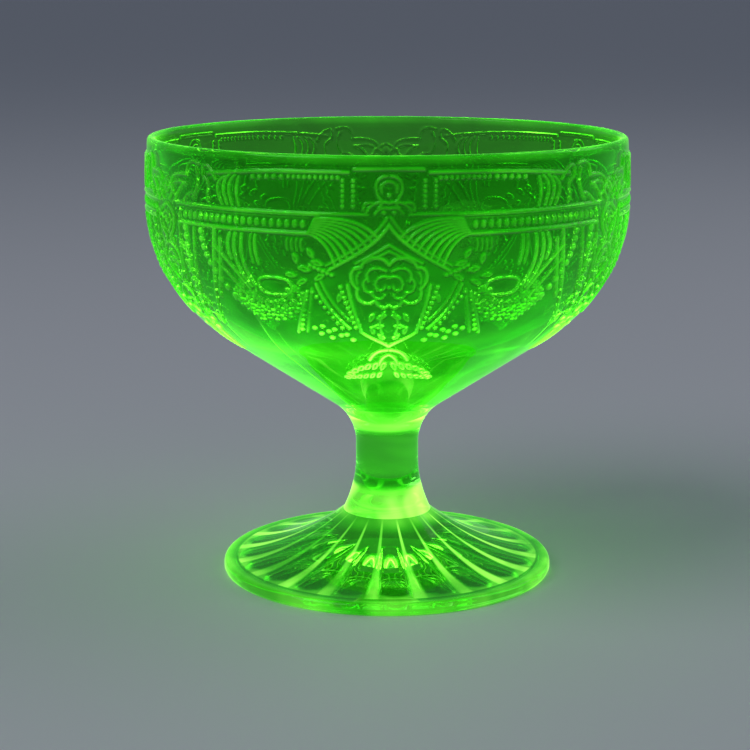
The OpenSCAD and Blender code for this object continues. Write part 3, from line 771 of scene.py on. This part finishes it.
class DISH_OT_stem(bpy.types.Operator):
    """Build the bowl's solid bottom, the waisted stem and its collar"""
    bl_idname = "dish.stem"
    bl_label = "Stem"

    def execute(self, context):
        outline = [(0, COLLAR_Z)] + stepped(outer_r, COLLAR_Z, CONE_LOW_Z, 0.3 * MM)
        outline += stepped(inner_r, CONE_LOW_Z, INSIDE_Z, 0.3 * MM) + [(0, INSIDE_Z)]
        bm = spun(outline, 0, 360, 192)
        z = np.array([v.co.z for v in bm.verts])
        flare = ramp(COLLAR_Z + 5.8 * MM, COLLAR_Z + 4.4 * MM, z)
        neck = ramp(STEM_TOP_Z - 0.5 * MM, STEM_TOP_Z + 0.7 * MM, z)
        # painted glow: the collar's outer face is painted bright, and the neck glows mostly from
        # within
        write_painted_glow(bm, 0.9 - 0.5 * flare + 1.8 * neck, 0.03 + 1.15 * flare + 0.4 * neck)

        def is_join(face):
            return lies_flat_at(face, COLLAR_Z, CONE_LOW_Z)

        finish_piece(bm, "stem_and_collar", glass_pair(), is_join,
                     ["bowl_bottom", "stem", "stem_collar"])
        return {"FINISHED"}


def ray_shares(r, azimuth):
    """Shares from 0 to 1 of ridge, of plain ring and of scoop at each place under the foot."""
    mesh_set = bpy.context.scene.dish_mesh
    pitch = 360 / mesh_set.rays
    across = np.abs((azimuth - mesh_set.ray_turn + pitch / 2) % pitch - pitch / 2) / (pitch / 2)
    reach = r / RING_IN
    wide = 0.88 - 0.36 * reach**2           # share of the pitch that a scoop takes
    end = 0.94 - 0.1 * across**2            # the scoop's round end
    fade = ramp(0.26, 0.38, reach)          # the rays fade in about where the collar ends
    ring = ramp(0, 0.05, reach - end)
    ridge = ramp(0, 0.55, (across - wide) / (1 - wide)) * fade
    scoop = np.clip(1 - (across / wide) ** 2, 0, 1) * fade * (1 - ring)
    return ridge, ring, scoop


class DISH_OT_foot(bpy.types.Operator):
    """Build the domed foot with its scooped rays and standing ring"""
    bl_idname = "dish.foot"
    bl_label = "Foot"

    def execute(self, context):
        rim_r = FOOT_R - EDGE_ROUND
        top = [(COLLAR_R + (rim_r - COLLAR_R) * i / 60,
                foot_top(COLLAR_R + (rim_r - COLLAR_R) * i / 60)) for i in range(61)]
        turns = [math.radians(a) for a in range(75, -1, -15)]
        rim = [(rim_r + EDGE_ROUND * math.cos(a),
                foot_top(rim_r) - EDGE_ROUND + EDGE_ROUND * math.sin(a)) for a in turns]
        rim += [(FOOT_R, RING_BEVEL), (FOOT_R - 0.15 * MM, 0.15 * MM), (FOOT_R - RING_BEVEL, 0),
                (RING_IN + RING_BEVEL, 0), (RING_IN + 0.1 * MM, 0.25 * MM)]
        under = [(RING_IN * (1 - i / 72), foot_under(RING_IN * (1 - i / 72))) for i in range(73)]
        bm = spun([(0, COLLAR_Z)] + top + rim + under, 0, 360, 480)
        verts = list(bm.verts)
        co = np.array([v.co for v in verts])
        r = np.hypot(co[:, 0], co[:, 1])
        base = foot_under(r)
        down = np.nonzero((r < RING_IN * 0.999) & (np.abs(co[:, 2] - base) < 0.01 * MM))[0]
        ridge, ring, scoop = ray_shares(r, np.degrees(np.arctan2(co[:, 0], -co[:, 1])))
        drop = np.maximum(ridge, ring) * RIDGE_DROP - scoop * SCOOP_RISE
        for i in down:
            verts[i].co.z -= drop[i]
        # painted glow from within: faint over most of the foot, bright along the ridges, the ring and
        # the edge
        painted_inner = np.full(len(verts), 0.12)
        open_share = ramp(5 * MM, 12 * MM, r)      # the painted ridge glow only starts clear of the collar
        painted_inner[down] = (0.2 + 1.6 * ridge * open_share + 0.4 * ring)[down]
        edge_share = ramp(RING_IN - 0.6 * MM, FOOT_R - 0.4 * MM, r)
        top = (r < RING_IN) & (co[:, 2] > base + 0.5 * MM)
        # painted light on the foot's top: bright bands where the ridges lie below, a glow near the
        # collar, and a painted glow at the edge
        painted_ridge_bands = 0.6 * np.maximum(ridge, 0.6 * ring) ** 1.3
        through = top * (painted_ridge_bands + 0.5 * ramp(11 * MM, 8 * MM, r))
        write_painted_glow(bm, painted_inner + 1.6 * edge_share, 0.36 * edge_share + through)

        def is_join(face):
            return lies_flat_at(face, COLLAR_Z)

        finish_piece(bm, "foot", glass_pair(), is_join, ["foot_plate", "foot_rays", "foot_rim"])
        return {"FINISHED"}


FLOOR_SIZE = 12              # half the floor's width in metres, so that it fills the view
FLOOR_DROP = 0.02 * MM       # keeps the floor clear of the standing ring
STUDIO_COLOUR = "C8D2E6"
STUDIO_LIGHT = 0.2
LAMPS = (("key_light", (-0.55, -0.35, 0.75), 0.7, 2.2),     # name, place, size and power
         ("fill_light", (0.7, 0.2, 0.6), 0.8, 1.0))
AIM_AT = (0, 0, 0.04)        # the middle of the dish
CAMERA_X = -2.2 * MM
LENS = 90.2                  # focal length in millimetres
SENSOR = 36                  # sensor width in millimetres
BOUNCES = 24                 # light passes many glass surfaces on its way through


class DISH_OT_stage(bpy.types.Operator):
    """Set up the pale floor, the soft studio light and the camera"""
    bl_idname = "dish.stage"
    bl_label = "Stage"

    def execute(self, context):
        scene = context.scene
        look = scene.dish_stage
        bm = bmesh.new()
        bmesh.ops.create_grid(bm, x_segments=1, y_segments=1, size=FLOOR_SIZE,
                              matrix=Matrix.Translation((0, 0, -FLOOR_DROP)))
        mesh = bpy.data.meshes.new("floor")
        bm.to_mesh(mesh)
        bm.free()
        # matt coated paper, rolled out flat
        paper = bpy.data.materials.new("matt_paper")
        paper.use_nodes = True
        shader = paper.node_tree.nodes["Principled BSDF"]
        shader.inputs["Base Color"].default_value = linear(look.floor_colour)
        shader.inputs["Roughness"].default_value = 0.6
        mesh.materials.append(paper)
        floor = bpy.data.objects.new("floor", mesh)
        scene.collection.objects.link(floor)

        world = bpy.data.worlds.new("studio")
        scene.world = world
        world.use_nodes = True
        background = world.node_tree.nodes["Background"]
        background.inputs["Color"].default_value = linear(STUDIO_COLOUR)
        background.inputs["Strength"].default_value = STUDIO_LIGHT

        for name, place, size, power in LAMPS:
            data = bpy.data.lights.new(name, "AREA")
            data.shape = "DISK"
            data.size = size
            data.energy = power
            lamp = bpy.data.objects.new(name, data)
            lamp.location = place
            aim = Vector(AIM_AT) - Vector(place)
            lamp.rotation_euler = aim.to_track_quat("-Z", "Y").to_euler()
            scene.collection.objects.link(lamp)

        data = bpy.data.cameras.new("camera")
        data.lens = LENS
        data.sensor_width = SENSOR
        camera = bpy.data.objects.new("camera", data)
        camera.location = (CAMERA_X, -look.distance, look.eye_z)
        camera.rotation_euler = (math.pi / 2 - look.pitch, 0, 0)
        scene.collection.objects.link(camera)
        scene.camera = camera
        scene.view_settings.view_transform = "Standard"
        scene.cycles.max_bounces = BOUNCES
        scene.cycles.transmission_bounces = BOUNCES
        return {"FINISHED"}


class DISH_PT_panel(bpy.types.Panel):
    """Sizes, glass and stage of the dish"""
    bl_label = "Glass Dish"
    bl_idname = "DISH_PT_panel"
    bl_space_type = "VIEW_3D"
    bl_region_type = "UI"
    bl_category = "Glass Dish"

    def draw(self, context):
        for group in ("dish_mesh", "dish_glass", "dish_stage"):
            settings = getattr(context.scene, group)
            for name in type(settings).__annotations__:
                self.layout.prop(settings, name)
        for operator in OPERATORS:
            self.layout.operator(operator.bl_idname)


GROUPS = {"dish_mesh": DishMesh, "dish_glass": DishGlass, "dish_stage": DishStage}
OPERATORS = (DISH_OT_stage, DISH_OT_upper_bowl, DISH_OT_lower_bowl, DISH_OT_stem, DISH_OT_foot)
CLASSES = tuple(GROUPS.values()) + OPERATORS + (DISH_PT_panel,)


def register():
    for cls in CLASSES:
        bpy.utils.register_class(cls)
    for name, group in GROUPS.items():
        setattr(bpy.types.Scene, name, bpy.props.PointerProperty(type=group))


def unregister():
    for name in GROUPS:
        delattr(bpy.types.Scene, name)
    for cls in reversed(CLASSES):
        bpy.utils.unregister_class(cls)


def main():
    register()
    bpy.ops.dish.stage()
    bpy.ops.dish.upper_bowl()
    bpy.ops.dish.lower_bowl()
    bpy.ops.dish.stem()
    bpy.ops.dish.foot()


if __name__ == "__main__":
    main()
